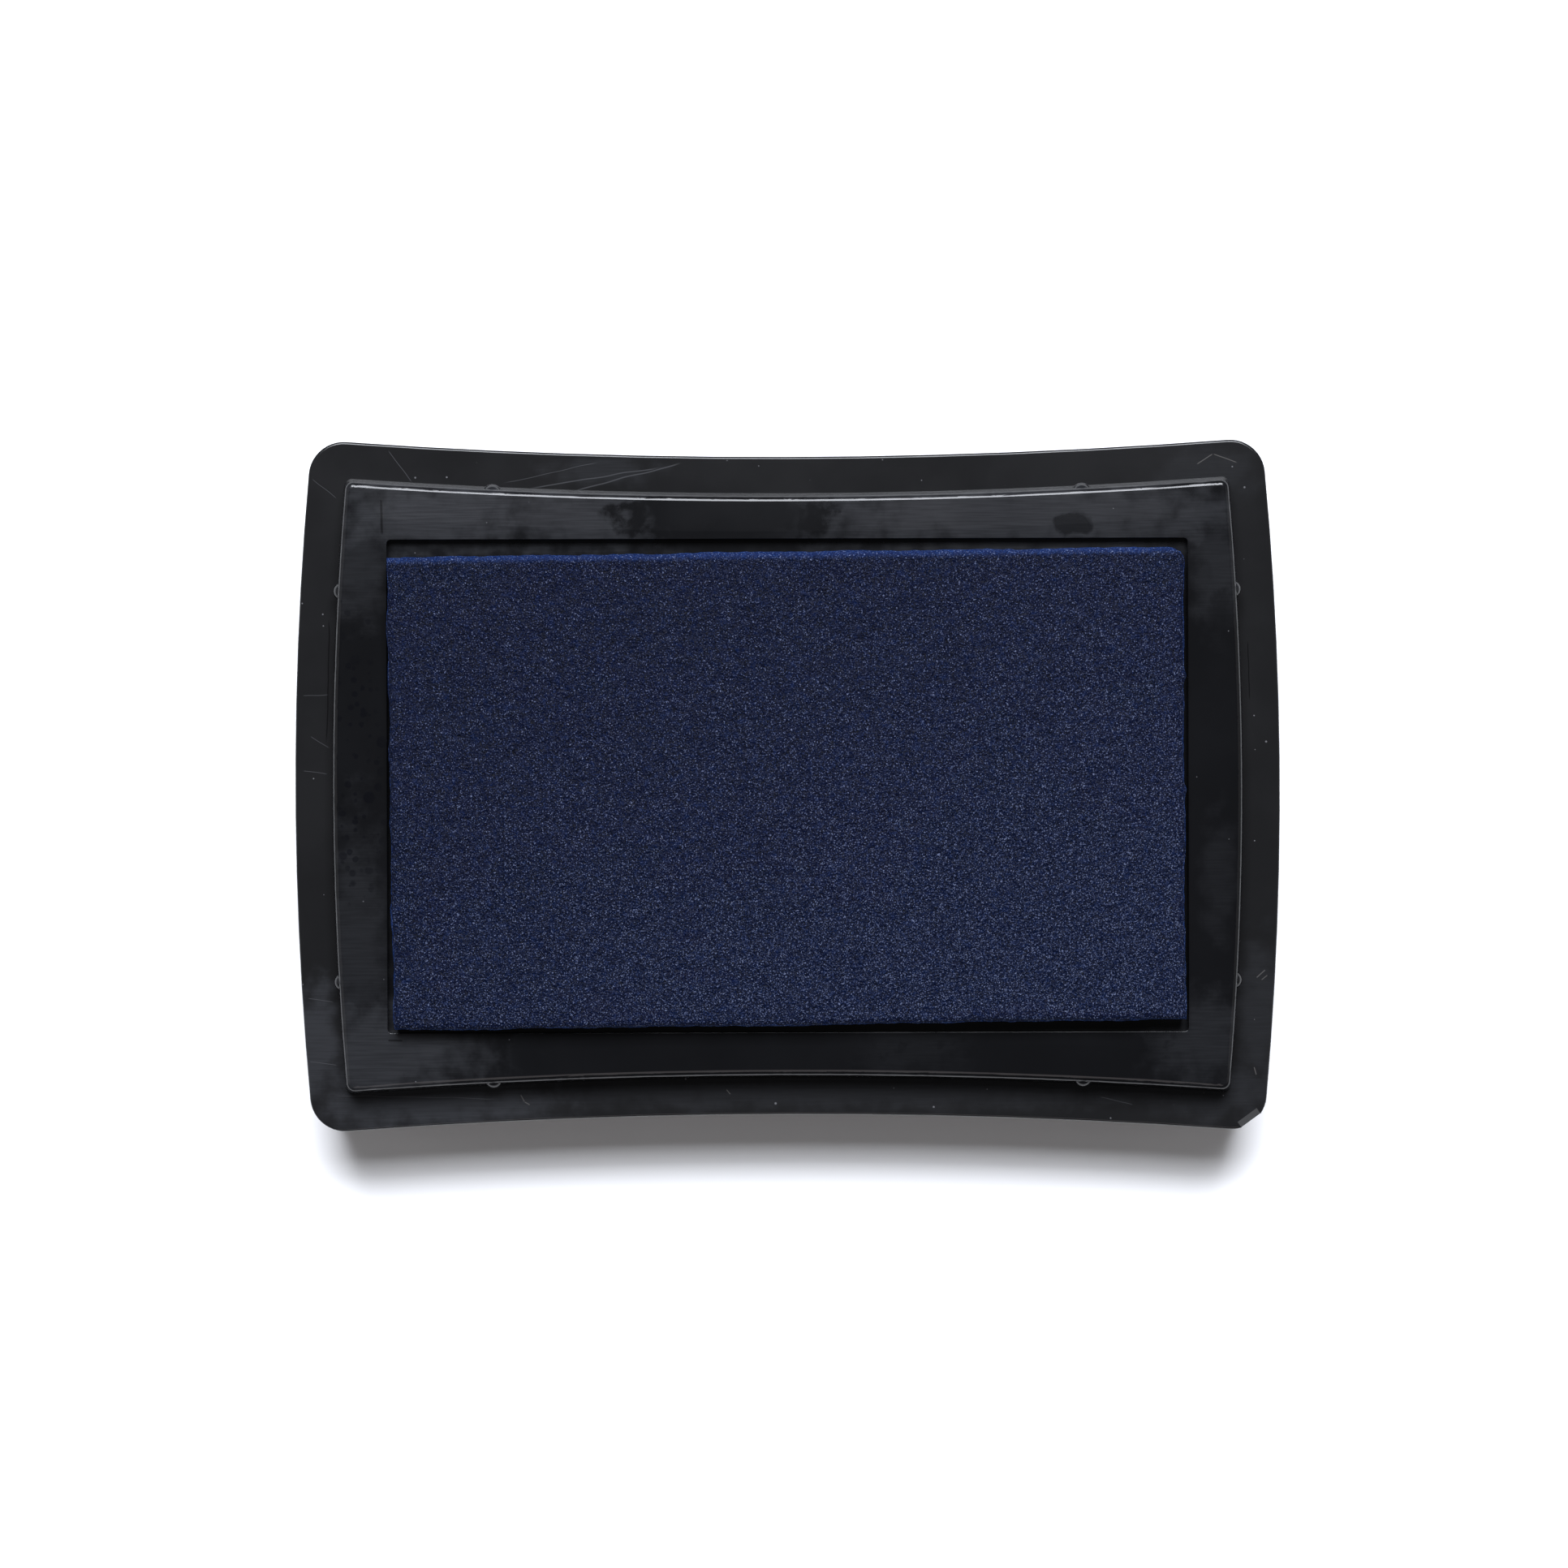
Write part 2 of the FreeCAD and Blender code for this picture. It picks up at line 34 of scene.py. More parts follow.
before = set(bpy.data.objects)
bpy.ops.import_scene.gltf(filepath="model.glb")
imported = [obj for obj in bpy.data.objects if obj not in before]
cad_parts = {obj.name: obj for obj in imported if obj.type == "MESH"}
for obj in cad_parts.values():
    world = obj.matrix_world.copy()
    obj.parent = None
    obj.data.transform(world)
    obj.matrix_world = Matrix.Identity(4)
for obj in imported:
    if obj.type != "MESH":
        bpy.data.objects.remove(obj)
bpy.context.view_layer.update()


# ---- Shader building ----
class Graph:
    """One material's shader nodes, added with short calls. A link or a plain value can go into any input."""

    def __init__(self, name):
        self.material = bpy.data.materials.new(name)
        self.material.use_nodes = True
        self.tree = self.material.node_tree
        self.tree.nodes.clear()
        self.place = None
        self.wobbly = None
        self.ragged = None

    def put(self, socket, value):
        if isinstance(value, bpy.types.NodeSocket):
            self.tree.links.new(value, socket)
        elif value is not None:
            socket.default_value = value

    def node(self, kind, settings=None, **inputs):
        made = self.tree.nodes.new(kind)
        for key, value in (settings or {}).items():
            setattr(made, key, value)
        for key, value in inputs.items():
            self.put(made.inputs[key.replace("_", " ")], value)
        return made

    def math(self, operation, a, b=None, clamp=False):
        made = self.tree.nodes.new("ShaderNodeMath")
        made.operation = operation
        made.use_clamp = clamp
        self.put(made.inputs[0], a)
        self.put(made.inputs[1], b)
        return made.outputs[0]

    def vector(self, operation, a, b=None):
        made = self.tree.nodes.new("ShaderNodeVectorMath")
        made.operation = operation
        self.put(made.inputs[0], a)
        self.put(made.inputs[1], b)
        return made.outputs["Value" if operation in ("LENGTH", "DOT_PRODUCT") else "Vector"]

    def position(self):
        """The point's place in millimetres, in the frame of the pad at rest."""
        if self.place is None:
            where = self.tree.nodes.new("ShaderNodeTexCoord").outputs["Object"]
            self.place = self.vector("MULTIPLY", where, (1 / MM, 1 / MM, 1 / MM))
        return self.place

    def stretched(self, factors):
        return self.vector("MULTIPLY", self.position(), factors)

    def noise(self, scale, detail=2.0, vector=None, roughness=0.5):
        made = self.node("ShaderNodeTexNoise", Scale=scale, Detail=detail, Roughness=roughness)
        self.put(made.inputs["Vector"], vector or self.position())
        return made.outputs["Fac"]

    def cells(self, scale, vector=None, randomness=1.0):
        made = self.node("ShaderNodeTexVoronoi", Scale=scale, Randomness=randomness)
        self.put(made.inputs["Vector"], vector or self.position())
        return made.outputs["Distance"], made.outputs["Color"]

    def ramp(self, value, low, high, to_low=0.0, to_high=1.0):
        """A smooth step from to_low to to_high while value goes from low to high."""
        made = self.tree.nodes.new("ShaderNodeMapRange")
        made.interpolation_type = "SMOOTHSTEP"
        for key, x in (("From Min", low), ("From Max", high), ("To Min", to_low), ("To Max", to_high)):
            made.inputs[key].default_value = x
        self.put(made.inputs["Value"], value)
        return made.outputs["Result"]

    def mix(self, share, a, b):
        made = self.tree.nodes.new("ShaderNodeMix")
        made.data_type = "RGBA"
        self.put(made.inputs[0], share)
        self.put(made.inputs[6], a)
        self.put(made.inputs[7], b)
        return made.outputs[2]

    def greatest(self, masks):
        found = masks[0]
        for mask in masks[1:]:
            found = self.math("MAXIMUM", found, mask)
        return found

    def bump(self, height, distance, strength=1.0, normal=None):
        made = self.node("ShaderNodeBump", Strength=strength, Distance=distance, Height=height)
        self.put(made.inputs["Normal"], normal)
        return made.outputs["Normal"]

    def specks(self, scale, radius, share, seed):
        """Small round specks of about one radius, in a share of the cells of a scattered grid."""
        moved = self.vector("ADD", self.position(), (seed, seed * 1.7, seed * 2.3))
        distance, colour = self.cells(scale, moved)
        split = self.tree.nodes.new("ShaderNodeSeparateColor")
        self.put(split.inputs[0], colour)
        chosen = self.ramp(split.outputs[0], 1 - share, 1 - share + 0.02)
        size = self.math("MULTIPLY", split.outputs[1], radius * scale)
        near = self.math("SUBTRACT", self.math("ADD", size, 0.35 * radius * scale), distance)
        return self.math("MULTIPLY", self.ramp(near, 0.0, 0.35 * radius * scale), chosen)

    def stroke(self, start, end, width):
        """A thin straight mark between two points of the plan, in millimetres, which fades at its ends."""
        run = Vector(end) - Vector(start)
        if self.wobbly is None:
            drift = self.node("ShaderNodeTexNoise", Scale=0.3, Detail=1.0, Vector=self.position())
            drift = self.vector("MULTIPLY", drift.outputs["Color"], (0.3, 0.3, 0.0))
            self.wobbly = self.vector("ADD", self.position(), drift)
        offset = self.vector("SUBTRACT", self.wobbly, (start[0] + 0.15, start[1] + 0.15, 0))
        lengthwise = (run.x / run.length_squared, run.y / run.length_squared, 0)
        crosswise = (-run.y / run.length, run.x / run.length, 0)
        along = self.vector("DOT_PRODUCT", offset, lengthwise)
        across = self.vector("DOT_PRODUCT", offset, crosswise)
        thin = self.ramp(self.math("ABSOLUTE", across), width * 0.3, width, 1.0, 0.0)
        from_middle = self.math("ABSOLUTE", self.math("SUBTRACT", along, 0.5))
        return self.math("MULTIPLY", thin, self.ramp(from_middle, 0.4, 0.5, 1.0, 0.0))

    def patch(self, centre, radii, strength=1.0, softness=0.35):
        """A ragged patch of the plan, with an edge as soft as asked."""
        if self.ragged is None:
            self.ragged = self.ramp(self.noise(0.5, 4.0), 0.0, 1.0, -0.7, 0.7)
        offset = self.vector("SUBTRACT", self.position(), (*centre, 0))
        scaled = self.vector("MULTIPLY", offset, (1 / radii[0], 1 / radii[1], 0))
        reach = self.math("ADD", self.vector("LENGTH", scaled), self.ragged)
        return self.ramp(reach, 1 - softness, 1 + softness, strength, 0.0)

    def finish(self, colour, roughness, normal=None, specular=0.5, **more):
        shader = self.node("ShaderNodeBsdfPrincipled")
        self.put(shader.inputs["Base Color"], colour)
        self.put(shader.inputs["Roughness"], roughness)
        self.put(shader.inputs["Normal"], normal)
        self.put(shader.inputs["Specular IOR Level"], specular)
        for key, value in more.items():
            self.put(shader.inputs[key.replace("_", " ")], value)
        out = self.tree.nodes.new("ShaderNodeOutputMaterial")
        self.tree.links.new(shader.outputs[0], out.inputs[0])
        return self.material


# ---- Marks that the pad has picked up in use, and strokes of painted shade, in millimetres of the plan: start, end, width ----
FLANGE_SCRATCHES = (
    ((-20.7, 28.5), (-10.1, 31.2), 0.09),
    ((-25.0, 28.8), (-12.1, 30.8), 0.08),
    ((-27.5, 29.3), (-18.1, 31.3), 0.04),
    ((-38.6, 32.5), (-36.2, 29.4), 0.05),
    ((-45.9, 29.8), (-43.5, 27.8), 0.04),
    ((-46.9, 8.8), (-44.4, 8.9), 0.04),
    ((-46.9, 1.5), (-44.5, 1.2), 0.04),
    ((-46.1, 4.9), (-44.3, 3.7), 0.04),
    ((-46.5, -20.5), (-43.9, -20.9), 0.04),
    ((-46.3, -26.6), (-43.6, -26.9), 0.04),
    ((-44.0, -29.9), (-28.0, -30.2), 0.05),
    ((30.1, -30.2), (33.4, -31.0), 0.04),
)
FLANGE_FIBRES = (
    ((39.6, 31.0), (41.2, 32.0), 0.07),
    ((41.2, 32.0), (43.6, 31.1), 0.06),
    ((-25.9, -29.8), (-25.5, -30.5), 0.07),
    ((-25.5, -30.5), (-25.0, -30.8), 0.07),
    ((-6.0, -29.4), (-5.6, -29.9), 0.07),
    ((45.3, -18.7), (46.2, -17.9), 0.07),
    ((45.8, -18.9), (46.4, -18.4), 0.06),
    ((45.0, -27.3), (45.2, -28.1), 0.07),
)
# painted shadows: dark strokes along the foot of the frame's wall, where its shade falls
WALL_FOOT_SHADOWS = (
    ((-44.25, 16.5), (-44.6, 4.0), 0.09),
    ((44.5, 14.0), (44.7, 8.0), 0.08),
)
# painted shade: dark strokes in the creases at the deck's corners
DECK_CREASE_SHADE = (
    ((-38.9, 27.6), (-38.8, 24.0), 0.16),
    ((-38.4, -24.3), (-36.9, -24.3), 0.12),
)
DECK_WET = (  # patches of ink that never dried: centre, radii, strength
    ((-6.5, 25.7), (9.5, 2.4), 1.0),
    ((27.0, 25.0), (2.0, 1.0), 0.8),
    ((-23.7, -25.6), (2.6, 1.9), 0.8),
    ((-4.0, -25.2), (11.0, 2.2), 1.0),
    ((26.0, -25.2), (9.0, 2.0), 1.0),
    ((41.6, 12.0), (1.4, 6.0), 0.6),
)
DECK_HAZE = (  # patches of dried film, which scatter more light: centre, radii, strength
    ((-34.0, 25.8), (9.0, 3.2), 0.9),
    ((-19.0, 25.8), (9.0, 3.0), 0.75),
    ((22.0, 25.8), (22.0, 3.4), 0.7),
    ((-39.0, -25.5), (9.0, 4.4), 0.8),
    ((-41.5, -15.0), (2.6, 10.0), 0.4),
    ((-41.0, 22.0), (2.6, 5.0), 0.4),
    ((41.5, 21.0), (2.6, 5.0), 0.35),
    ((12.0, -25.2), (5.0, 2.4), 0.15),
    ((39.5, -24.0), (5.0, 3.6), 0.4),
    ((41.2, -9.0), (1.4, 5.0), 0.2),
)
# Lighter patches of dried ink film on the flange: centre, radii, strength. Those along the front also
# lighten the strip in the frame's shadow: painted light there.
FLANGE_HAZE_AND_PAINTED_LIGHT = (
    ((-45.6, -25.0), (2.2, 5.0), 1.0),
    ((-34.0, -29.8), (11.0, 3.4), 1.0),
    ((-18.0, 30.4), (4.5, 1.2), 0.45),
    ((40.5, 30.0), (4.0, 2.6), 0.3),
    ((45.5, -22.0), (2.0, 6.0), 0.4),
    ((4.0, -29.4), (36.0, 1.7), 0.4),
    ((41.0, -29.6), (6.0, 2.4), 0.5),
)


# ---- Colours of the marks and of the inked foam, painted shade, light and glints among them ----
# lighter dried ink film, which along the flange's front is also painted light in the frame's shadow
DRIED_FILM_AND_PAINTED_LIGHT = (0.0185, 0.0192, 0.0215, 1.0)
INK_BEAD = (0.0012, 0.0013, 0.0024, 1.0)
# painted shade: the colour of the dark strokes at the wall's foot and in the deck's creases
PAINTED_SHADE = (0.001, 0.001, 0.0012, 1.0)
SCRATCH = (0.055, 0.056, 0.06, 1.0)
DUST = (0.16, 0.16, 0.17, 1.0)
LINT = (0.11, 0.105, 0.1, 1.0)
# painted light and shade: the ink as it looks in shade, and a lit copy of it
FOAM_SHADED = (0.0004, 0.0020, 0.0126, 1.0)
FOAM_SHADED_CLOUD = (0.0006, 0.0024, 0.0142, 1.0)
FOAM_LIT = (0.0030, 0.0082, 0.0350, 1.0)
FOAM_CLUSTER = (0.0011, 0.0085, 0.0440, 1.0)
# painted shade in the foam's hollows and between its cells
FOAM_PIT_SHADE = (0.0006, 0.0010, 0.0027, 1.0)
FOAM_GAP_SHADE = (0.0005, 0.0014, 0.0066, 1.0)
# painted glint: the light that the wet cells catch, on top
FOAM_GLINT = (0.073, 0.088, 0.142, 1.0)
FOAM_EDGE = (0.0021, 0.010, 0.057, 1.0)
# painted light: a lit copy of the cut edges' blue
FOAM_EDGE_LIT = (0.0105, 0.036, 0.138, 1.0)
# painted glint on the cut edges
FOAM_EDGE_GLINT = (0.13, 0.16, 0.26, 1.0)


def case_plastic(
    name, colour, roughness, haze_and_painted_light=(), wet=(), droplets=0.0, scratches=(), fibres=(), shadows=(), dust=1.0
):
    """Black moulded plastic: fine grain, handling marks, dust, dried or wet ink where it says, and dark
    strokes of painted shade. Along the flange's front the dried film is also painted light, in the frame's
    shadow.
    """
    g = Graph(name)
    cloud = g.noise(0.12, 4.0)
    grain = g.noise(9.0, 3.0)
    brushed = g.noise(1.0, 3.0, g.stretched((0.25, 6.0, 0.25)))
    base = g.mix(g.ramp(cloud, 0.35, 0.7), colour, tuple(c * 1.2 for c in colour[:3]) + (1.0,))
    rough = g.ramp(cloud, 0.3, 0.75, roughness - 0.01, roughness + 0.02)
    if haze_and_painted_light:
        # lighter dried film, and along the flange's front painted light in the frame's shadow
        film = g.greatest([g.patch(centre, radii, strength, 0.6) for centre, radii, strength in haze_and_painted_light])
        film = g.math("MULTIPLY", film, g.ramp(brushed, 0.3, 0.7, 0.75, 1.15))
        if wet:
            ink = g.greatest([g.patch(centre, radii, strength, 0.2) for centre, radii, strength in wet])
            film = g.math("MULTIPLY", film, g.math("SUBTRACT", 1.0, ink, clamp=True))
        base = g.mix(film, base, DRIED_FILM_AND_PAINTED_LIGHT)
        rough = g.math("ADD", rough, g.math("MULTIPLY", film, 0.04))
    if droplets:
        beads = g.greatest([g.specks(0.75, 0.5, 0.5, 5.3), g.specks(1.4, 0.3, 0.5, 9.1)])
        where = g.patch((-41.3, 2.0), (2.3, 14.0), droplets, 0.5)
        beads = g.math("MULTIPLY", beads, where)
        base = g.mix(beads, base, INK_BEAD)
    if shadows:
        # painted shade: dark strokes at the wall's foot and in the deck's creases
        dark = g.greatest([g.stroke(*mark) for mark in shadows])
        base = g.mix(g.math("MULTIPLY", dark, 0.7), base, PAINTED_SHADE)
    if scratches:
        worn = g.greatest([g.stroke(*mark) for mark in scratches])
        base = g.mix(g.math("MULTIPLY", worn, 0.5), base, SCRATCH)
    bits = g.greatest([g.specks(0.4, 0.13, 0.35 * dust, 3.1), g.specks(1.0, 0.08, 0.3 * dust, 7.7)])
    base = g.mix(g.math("MULTIPLY", bits, 0.5), base, DUST)
    if fibres:
        lint = g.greatest([g.stroke(*mark) for mark in fibres])
        base = g.mix(g.math("MULTIPLY", lint, 0.4), base, LINT)
    normal = g.bump(grain, 0.0006 * MM, 1.0)
    return g.finish(base, rough, normal, 0.25)


def foam_material(top, edge_depth):
    """Open-celled foam wet with dark blue ink: shiny on top, bright blue at its cut edges. Its speckle is
    painted: painted glints, painted shade in its hollows and between its cells, lit and shaded copies of the
    ink, and painted light along its back edge.
    """
    g = Graph("ink_foam_wet")
    split = g.tree.nodes.new("ShaderNodeSeparateXYZ")
    g.put(split.inputs[0], g.position())
    below = g.math("SUBTRACT", top / MM, split.outputs[2])
    ragged = g.math("MULTIPLY", g.math("SUBTRACT", g.noise(1.6, 3.0), 0.5), 0.5)
    edge = g.ramp(g.math("ADD", below, ragged), edge_depth * 0.55, edge_depth)
    # painted light: a lighter blue band along the back edge, the side that faces the key light
    slanted = g.vector("DOT_PRODUCT", g.position(), (-FOAM_LEAN_OF_LONG_EDGES, 1, 0))
    back = g.ramp(g.math("ADD", slanted, g.math("MULTIPLY", ragged, 0.8)), 21.4, 22.1, 0.0, 0.6)
    edge = g.math("MAXIMUM", edge, back)
    warp = g.node("ShaderNodeTexNoise", Scale=2.2, Detail=2.0, Vector=g.position())
    bent = g.vector("ADD", g.position(), g.vector("MULTIPLY", warp.outputs["Color"], (0.35, 0.35, 0.35)))
    pores, _ = g.cells(4.6, bent)
    grit = g.noise(7.5, 1.5, bent, 0.6)
    cloud = g.noise(0.16, 3.0)
    # more painted light and glints towards the front right, and less painted shade
    forward = g.math("SUBTRACT", g.math("MULTIPLY", split.outputs[0], 0.4), split.outputs[1])
    brighter_to_front_right = g.ramp(forward, -30.0, 38.0, -0.06, 0.018)
    grit = g.math("ADD", grit, brighter_to_front_right)
    # painted light and shade: shaded and lit copies of the ink, picked by the grit noise
    shaded = g.mix(g.ramp(cloud, 0.3, 0.7), FOAM_SHADED, FOAM_SHADED_CLOUD)
    lit = g.mix(g.ramp(grit, 0.47, 0.6), shaded, FOAM_LIT)
    clusters = g.ramp(g.noise(1.5, 3.0, bent, 0.65), 0.5, 0.66)
    lit = g.mix(g.math("MULTIPLY", clusters, 0.42), lit, FOAM_CLUSTER)
    # painted shade in the hollows and between the cells
    pit_shade = g.math("MULTIPLY", g.ramp(grit, 0.455, 0.35), g.ramp(g.noise(1.1, 2.0, bent), 0.38, 0.58))
    lit = g.mix(pit_shade, lit, FOAM_PIT_SHADE)
    glint_cells, _ = g.cells(6.2, bent)
    gap_shade = g.math("MULTIPLY", g.ramp(glint_cells, 0.4, 0.62), 0.65)
    lit = g.mix(gap_shade, lit, FOAM_GAP_SHADE)
    # painted glints: light-coloured dots in the middles of the cells
    glint_share = g.math("MULTIPLY", g.ramp(grit, 0.45, 0.6), g.ramp(glint_cells, 0.5, 0.22))
    glint_share = g.math("MULTIPLY", glint_share, g.math("SUBTRACT", 1.0, g.math("MULTIPLY", clusters, 0.6)))
    glints = g.mix(glint_share, lit, FOAM_GLINT)
    # painted light and shade on the cut edges: their blue and a lit copy of it, picked by the grit noise
    blue = g.mix(g.ramp(grit, 0.4, 0.62), FOAM_EDGE, FOAM_EDGE_LIT)
    colour = g.mix(edge, glints, g.mix(glint_share, blue, FOAM_EDGE_GLINT))
    height = g.math("ADD", g.math("MULTIPLY", pores, 0.8), grit)
    normal = g.bump(height, 0.11 * MM, 0.9)
    return g.finish(colour, g.ramp(grit, 0.3, 0.7, 0.5, 0.34), normal, 0.07)


def felt_material():
    """Dense felt soaked with ink."""
    g = Graph("ink_felt_wet")
    fuzz = g.noise(4.0, 4.0, g.stretched((1.0, 0.5, 1.0)))
    colour = g.mix(g.ramp(fuzz, 0.35, 0.7), (0.004, 0.0045, 0.008, 1.0), (0.02, 0.022, 0.034, 1.0))
    return g.finish(colour, 0.6, g.bump(fuzz, 0.08 * MM, 0.8), 0.3)


def film_material():
    """Double-sided film, yellowish and slightly cloudy."""
    g = Graph("adhesive_film")
    cloud = g.noise(0.5, 3.0)
    colour = g.mix(cloud, (0.22, 0.2, 0.15, 1.0), (0.34, 0.32, 0.26, 1.0))
    return g.finish(colour, g.ramp(cloud, 0.3, 0.7, 0.3, 0.45), None, 0.4)


def box_mask(g, half_x, half_y, axis_x=0, axis_y=1, centre_y=0.0):
    """1 inside a rectangle about the frame's axes, 0 outside it, in millimetres."""
    split = g.tree.nodes.new("ShaderNodeSeparateXYZ")
    g.put(split.inputs[0], g.position())
    off_x = g.math("ABSOLUTE", split.outputs[axis_x])
    off_y = g.math("ABSOLUTE", g.math("SUBTRACT", split.outputs[axis_y], centre_y))
    inside_x = g.ramp(off_x, half_x - 0.04, half_x + 0.04, 1.0, 0.0)
    inside_y = g.ramp(off_y, half_y - 0.04, half_y + 0.04, 1.0, 0.0)
    return g.math("MULTIPLY", inside_x, inside_y)


def label_material(name, panel, **mask):
    """Coated label paper, plain white with one plain colour panel."""
    g = Graph(name)
    fibres = g.noise(6.0, 4.0)
    paper = g.mix(g.ramp(fibres, 0.3, 0.7), (0.7, 0.7, 0.68, 1.0), (0.78, 0.78, 0.77, 1.0))
    scuffs = g.ramp(g.noise(0.5, 4.0, g.stretched((1.0, 3.0, 1.0))), 0.62, 0.75)
    ink = g.mix(g.math("MULTIPLY", scuffs, 0.25), panel, (0.2, 0.22, 0.28, 1.0))
    colour = g.mix(box_mask(g, **mask), paper, ink)
    rough = g.ramp(scuffs, 0.0, 1.0, 0.32, 0.5)
    return g.finish(colour, rough, g.bump(fibres, 0.004 * MM, 0.5), 0.5)


# ---- Soft pieces ----
def lattice_noise(x, y, cell, seed):
    """Smooth random values from -1 to 1, about one bump to a cell."""
    values = np.random.default_rng(seed).uniform(-1, 1, (256, 256))
    u, v = x / cell + 91.7, y / cell + 57.3
    i, j = np.floor(u).astype(int), np.floor(v).astype(int)
    s, t = u - i, v - j
    s, t = s * s * (3 - 2 * s), t * t * (3 - 2 * t)
    corners = [values[(i + a) % 256, (j + b) % 256] for a in (0, 1) for b in (0, 1)]
    low = corners[0] * (1 - t) + corners[1] * t
    high = corners[2] * (1 - t) + corners[3] * t
    return low * (1 - s) + high * s


def soft_slab(name, size, bottom, top, spacing, edge_radius, shape_point, side_rows):
    """A closed slab: a fine top with a rounded edge, sides and a flat bottom. shape_point wears it."""
    columns, rows = round(size[0] / spacing), round(size[1] / spacing)
    x, y = np.meshgrid(np.linspace(-1, 1, columns + 1), np.linspace(-1, 1, rows + 1))
    x, y = x * size[0] / 2, y * size[1] / 2

    def turned(distance):
        return np.clip(distance / edge_radius, 0, 1) * np.pi / 2

    turn_x = turned(size[0] / 2 - np.abs(x))
    turn_y = turned(size[1] / 2 - np.abs(y))
    reach = np.clip(np.cos(turn_x) ** 2 + np.cos(turn_y) ** 2, 0, 1)
    drop = edge_radius * (1 - np.sqrt(1 - reach))
    inset_x = np.where(turn_x < np.pi / 2, edge_radius * (1 - np.cos(turn_x)), size[0] / 2 - np.abs(x))
    inset_y = np.where(turn_y < np.pi / 2, edge_radius * (1 - np.cos(turn_y)), size[1] / 2 - np.abs(y))
    x = np.sign(x) * (size[0] / 2 - inset_x)
    y = np.sign(y) * (size[1] / 2 - inset_y)
    grid = np.arange(x.size).reshape(x.shape)
    rim = np.concatenate([grid[0, :-1], grid[:-1, -1], grid[-1, :0:-1], grid[:0:-1, 0]])
    points = [np.stack([x, y, top - drop], -1).reshape(-1, 3)]
    ring = points[0][rim]
    for row in range(1, side_rows + 1):
        low = ring.copy()
        low[:, 2] = ring[:, 2] + (bottom - ring[:, 2]) * row / side_rows
        points.append(low)
    points = np.concatenate(points)
    faces = [
        (grid[j, i], grid[j, i + 1], grid[j + 1, i + 1], grid[j + 1, i])
        for j in range(rows)
        for i in range(columns)
    ]
    count = len(rim)
    rings = [rim] + [x.size + row * count + np.arange(count) for row in range(side_rows)]
    for upper, lower in zip(rings, rings[1:]):
        for k in range(count):
            after = (k + 1) % count
            faces.append((upper[after], upper[k], lower[k], lower[after]))
    faces.append(tuple(rings[-1][::-1]))
    points = shape_point(points)
    mesh = bpy.data.meshes.new(name)
    mesh.from_pydata(points.tolist(), [], [tuple(int(i) for i in face) for face in faces])
    mesh.polygons.foreach_set("use_smooth", [True] * (len(faces) - 1) + [False])
    mesh.validate()
    made = bpy.data.objects.new(name, mesh)
    bpy.context.scene.collection.objects.link(made)
    return made


FOAM_LEAN_OF_LONG_EDGES = math.tan(math.radians(0.66))
FOAM_LEAN_OF_ENDS = math.tan(math.radians(0.15))
WORN_CORNER_RADIUS = 1.4 * MM  # of the back right corner
FOAM_BOW = 0.3 * MM  # of its ends, in the middle
FOAM_SPLAY = 0.28 * MM  # of its left end, towards the back
FOAM_SWELL = 0.12 * MM  # of its sides, half-way up
FOAM_BELLY = 0.06 * MM  # of its back side, in the middle
TUFTS_AT = (10.3 * MM, -0.6 * MM)  # along the right end
TUFT_WIDTH = 0.5 * MM
TUFT_LENGTH = 0.3 * MM
FOAM_INSIDE_BOX = (0.74 * MM, 1.02 * MM)  # it is stuck down askew, so its box is larger than it is
FOAM_SHIFT = (0.05 * MM, -0.03 * MM)  # from the middle of that box
foam_low, foam_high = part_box("ink_foam")
foam_size = [foam_high[i] - foam_low[i] - FOAM_INSIDE_BOX[i] for i in (0, 1)]
foam_centre = [(foam_low[i] + foam_high[i]) / 2 + FOAM_SHIFT[i] for i in (0, 1)]
felt_low, felt_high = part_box("reservoir_felt")


